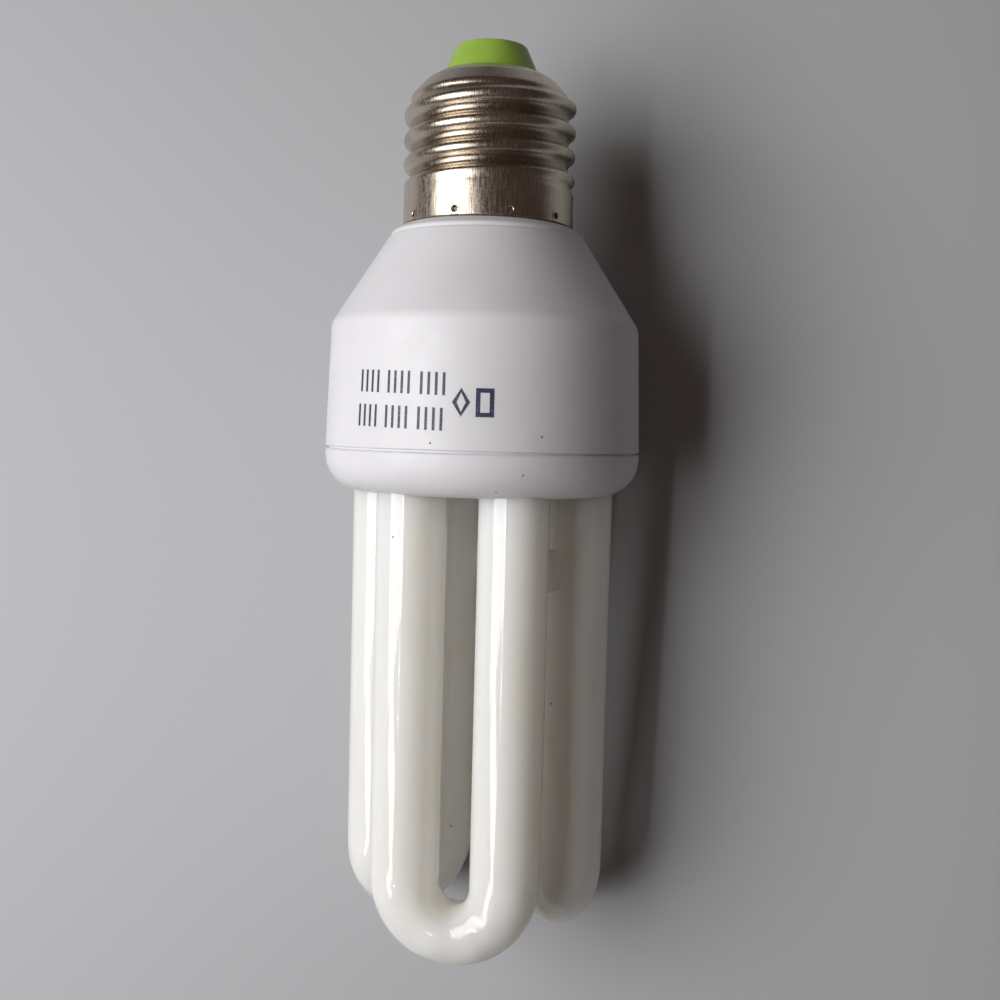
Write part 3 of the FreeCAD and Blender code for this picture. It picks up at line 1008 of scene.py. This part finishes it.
def flat_diamond(bm):
    """A circle with four corners, emptied inside."""
    shape = Matrix.Diagonal((sign_width / 2, sign_height / 2, 1, 1))
    corners = bmesh.ops.create_circle(bm, cap_ends=True, segments=4, radius=1, matrix=shape)["verts"]
    face = corners[0].link_faces[0]
    ring = bmesh.ops.inset_region(bm, faces=[face], thickness=sign_stroke, use_boundary=True)["faces"]
    bmesh.ops.delete(bm, geom=[face], context="FACES_ONLY")
    return {vert for ring_face in ring for vert in ring_face.verts}


def flat_box(bm):
    """Four bars that make an upright box."""
    up, side = (sign_height - sign_stroke) / 2, (sign_width - sign_stroke) / 2
    verts = flat_bar(bm, sign_width, sign_stroke, 0, up) + flat_bar(bm, sign_width, sign_stroke, 0, -up)
    for across in (-side, side):
        verts += flat_bar(bm, sign_stroke, sign_height - 2 * sign_stroke, across)
    return verts


# %% Ink marks
ink_colour, worn_ink_colour = (0.035, 0.045, 0.09), (0.22, 0.23, 0.29)
ink_thickness = 0.02
rows_of_bars = [(-34.6, 9.5, (4, 4, 4)), (-35.2, 4.7, (4, 4, 4))]
bar_step, group_gap, row_drop = 1.1, 0.85, 0.03
diamond_angle, box_angle, sign_level = 4.1, 11.9, 6.65


def ink_marks():
    bm = bmesh.new()
    for start, height, groups in rows_of_bars:
        along = 0
        for count in groups:
            for _ in range(count):
                bar_angle = start + math.degrees(along / drum_radius)
                bent_mark(flat_bar(bm, bar_width, bar_height), bar_angle, height - along * row_drop)
                along += bar_step
            along += group_gap
    bent_mark(flat_diamond(bm), diamond_angle, sign_level)
    bent_mark(flat_box(bm), box_angle, sign_level)
    bmesh.ops.recalc_face_normals(bm, faces=bm.faces)
    bmesh.ops.solidify(bm, geom=bm.faces[:], thickness=ink_thickness)
    material, shader = finish("printed_ink", ink_colour, 0.5)
    worn = ranged(material, noise(material, upright(material), 0.25, 3), 0.55, 0.75)
    coloured(material, shader, mixed(material, worn, ink_colour, worn_ink_colour))
    return place(bm, "rating_marks", [], material)


ink_marks()

# %% [markdown]
# ## The finishes inside the housing
#
# The ballast can't be seen, but someone may open the model. Each of its parts keeps its shape from
# the frame and gets the finish that such a part has. Most of them need no more than a base colour,
# a second colour that clouds it, and a fine bump, so one recipe serves all of those. Its numbers
# are the size of the clouds, the roughness, how metallic it is, and the depth of the bump.

# %% One recipe for the inner parts
inner_finishes = {
    "cement": ((0.62, 0.58, 0.50), (0.50, 0.45, 0.36), 1.2, 0.85, 0.0, 0.10),
    "board": ((0.36, 0.22, 0.10), (0.28, 0.16, 0.07), 0.5, 0.55, 0.0, 0.03),
    "tinned_wire": ((0.70, 0.69, 0.66), (0.48, 0.47, 0.44), 0.6, 0.30, 1.0, 0.01),
    "capacitor_sleeve": ((0.02, 0.025, 0.05), (0.04, 0.05, 0.09), 3.0, 0.30, 0.0, 0.01),
    "ferrite": ((0.045, 0.043, 0.045), (0.09, 0.085, 0.085), 0.3, 0.60, 0.0, 0.03),
    "bobbin": ((0.62, 0.58, 0.46), (0.55, 0.50, 0.38), 2.0, 0.45, 0.0, 0.01),
    "black_case": ((0.02, 0.02, 0.022), (0.045, 0.045, 0.045), 0.25, 0.55, 0.0, 0.02),
    "film_capacitor": ((0.30, 0.05, 0.02), (0.38, 0.09, 0.03), 1.5, 0.25, 0.0, 0.01),
    "resistor_body": ((0.03, 0.03, 0.035), (0.07, 0.07, 0.07), 0.3, 0.40, 0.0, 0.01),
    "fuse_coat": ((0.10, 0.26, 0.12), (0.16, 0.34, 0.17), 0.6, 0.50, 0.0, 0.03),
    "lead_sheath": ((0.55, 0.06, 0.04), (0.46, 0.05, 0.03), 1.5, 0.40, 0.0, 0.01),
}


def clouded(name, colour, second, size, roughness, metallic, depth):
    """Makes one finish from its row of the table."""
    material, shader = finish(name, colour, roughness, Metallic=metallic)
    place_mm = upright(material)
    clouds = noise(material, place_mm, size, 4)
    coloured(material, shader, mixed(material, ranged(material, clouds, 0.35, 0.7), colour, second))
    roughened(material, shader, ranged(material, clouds, 0.3, 0.7, roughness - 0.06, roughness + 0.06))
    bumped(material, shader, noise(material, place_mm, size / 3, 3), depth)
    return material


slot_materials = {name: clouded(name, *values) for name, values in inner_finishes.items()}
print("made", len(slot_materials), "finishes for the inner parts")

# %% [markdown]
# Enamelled copper wire is the one inner finish with a direction: the turns lie side by side, so a fine
# wave across them gives each turn its own rounded highlight. The same wave colours the wire darker where
# the turns meet, as painted shade.

# %% Copper wire
copper_colour, shaded_copper_colour = (0.60, 0.24, 0.08), (0.24, 0.07, 0.02)
wire_pitch = 0.35


def copper_wire():
    material, shader = finish("copper_wire", copper_colour, 0.28, Metallic=1.0)
    height = height_on_axis(material, upright(material))
    wave = calc(material, "SINE", calc(material, "MULTIPLY", height, math.tau / wire_pitch))
    # Painted shade: darker where neighbouring turns meet.
    shade = ranged(material, wave, -1, 0.2)
    coloured(material, shader, mixed(material, shade, shaded_copper_colour, copper_colour))
    bumped(material, shader, wave, 0.08)
    return material


slot_materials["copper_wire"] = copper_wire()

# %% Give each inner node the finish of its slot
nodes_of_finish = {
    "cement": ["tube_cement"],
    "board": ["circuit_board"],
    "tinned_wire": ["tube_leads", "wrap_pins"],
    "capacitor_sleeve": ["smoothing_capacitor"],
    "ferrite": ["choke_core", "transformer_core"],
    "bobbin": ["choke_bobbin"],
    "copper_wire": ["choke_winding", "transformer_windings"],
    "black_case": ["transistors", "rectifier_bridge"],
    "film_capacitor": ["resonance_capacitor", "blocking_capacitor"],
    "resistor_body": ["chip_resistors"],
    "fuse_coat": ["fusible_resistor"],
    "lead_sheath": ["live_lead", "neutral_lead"],
}
for finish_name, names in nodes_of_finish.items():
    for name in names:
        for material_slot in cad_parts[name].material_slots:
            material_slot.material = slot_materials[finish_name]
print("inner nodes with a finish:", sum(len(names) for names in nodes_of_finish.values()))

# %% [markdown]
# ## Floor, light and camera
#
# The lamp lies on a plain pale floor. Its light comes from a tall window on its left, which draws a
# wide bright strip down each tube, with a thin second line beside it, and throws a soft shadow to
# the right. One area light is the window's large pane, a thin one beside it gives the line, and a
# low one gives the strips their lower ends. A weak warm sky stands for the room and fills the
# shadows.

# %% Floor
floor_colour = (0.47, 0.478, 0.495)
floor_size = 3.0


def floor():
    bm = bmesh.new()
    bmesh.ops.create_grid(bm, x_segments=1, y_segments=1, size=floor_size / 2)
    mesh = bpy.data.meshes.new("floor")
    bm.to_mesh(mesh)
    bm.free()
    made = bpy.data.objects.new("floor", mesh)
    bpy.context.collection.objects.link(made)
    mesh.materials.append(finish("pale_floor", floor_colour, 0.55, Specular_IOR_Level=0.25)[0])
    print("the floor is", floor_size, "m wide")


floor()

# %% Window light and a weak sky
window_distance = 420 * mm
sky_colour, sky_strength = (1.0, 0.72, 0.62), 0.051


def area_light(name, bearing, along, width, length, power, slant):
    """A rectangular light: its bearing round the lamp, its place along it, and its slant."""
    turned_by = math.radians(bearing)
    data = bpy.data.lights.new(name, "AREA")
    data.shape = "RECTANGLE"
    data.size, data.size_y = width * mm, length * mm
    data.energy = power
    light = bpy.data.objects.new(name, data)
    outward = upper_side * math.cos(turned_by) + right_side * math.sin(turned_by)
    sideways = axis.cross(outward)
    facing = Matrix((sideways, axis, outward)).transposed().to_4x4()
    place_of_light = Matrix.Translation(seam_centre + outward * window_distance + axis * along * mm)
    light.matrix_world = place_of_light @ facing @ Matrix.Rotation(math.radians(slant), 4, "Z")
    bpy.context.collection.objects.link(light)


area_light("window_upper", bearing=-36.3, along=40, width=320, length=310, power=1.64, slant=9)
area_light("window_edge", bearing=-16, along=-70, width=9, length=150, power=0.08, slant=0)
area_light("window_lower", bearing=-35, along=-165, width=170, length=80, power=0.28, slant=-30)

world = bpy.data.worlds.new("room")
world.use_nodes = True
world.node_tree.nodes["Background"].inputs["Color"].default_value = (*sky_colour, 1)
world.node_tree.nodes["Background"].inputs["Strength"].default_value = sky_strength
bpy.context.scene.world = world
bpy.context.scene.view_settings.view_transform = "Standard"

# %% [markdown]
# The camera hangs close above the lamp, so the near parts look larger. It is placed from the lamp
# itself: it looks straight down on the lamp's upper side, and is then swung to the right, nodded
# and rolled by a few degrees, as the photograph shows.

# %% Camera
focal_length, sensor_width = 43.4545, 36.0
camera_distance = 187.678 * mm
camera_right, camera_up = 2.928 * mm, -0.071 * mm
swing, nod, roll = (math.radians(value) for value in (10.552, -3.461, 1.474))
aim_height = -7.89


def camera():
    data = bpy.data.cameras.new("camera")
    data.lens = focal_length
    data.sensor_width = sensor_width
    data.sensor_height = sensor_width
    data.sensor_fit = "HORIZONTAL"
    made = bpy.data.objects.new("camera", data)
    level = Matrix((right_side, axis, upper_side)).transposed().to_4x4()
    view = level @ Matrix.Rotation(swing, 4, "Y") @ Matrix.Rotation(nod, 4, "X")
    view = view @ Matrix.Rotation(roll, 4, "Z")
    aim = seam_centre + axis * aim_height * mm
    shift = view.to_3x3() @ Vector((camera_right, camera_up, camera_distance))
    made.matrix_world = Matrix.Translation(aim + shift) @ view
    bpy.context.collection.objects.link(made)
    bpy.context.scene.camera = made
    return made


viewer = camera()
print("the camera is", round((viewer.location - seam_centre).length / mm), "mm from the seam")
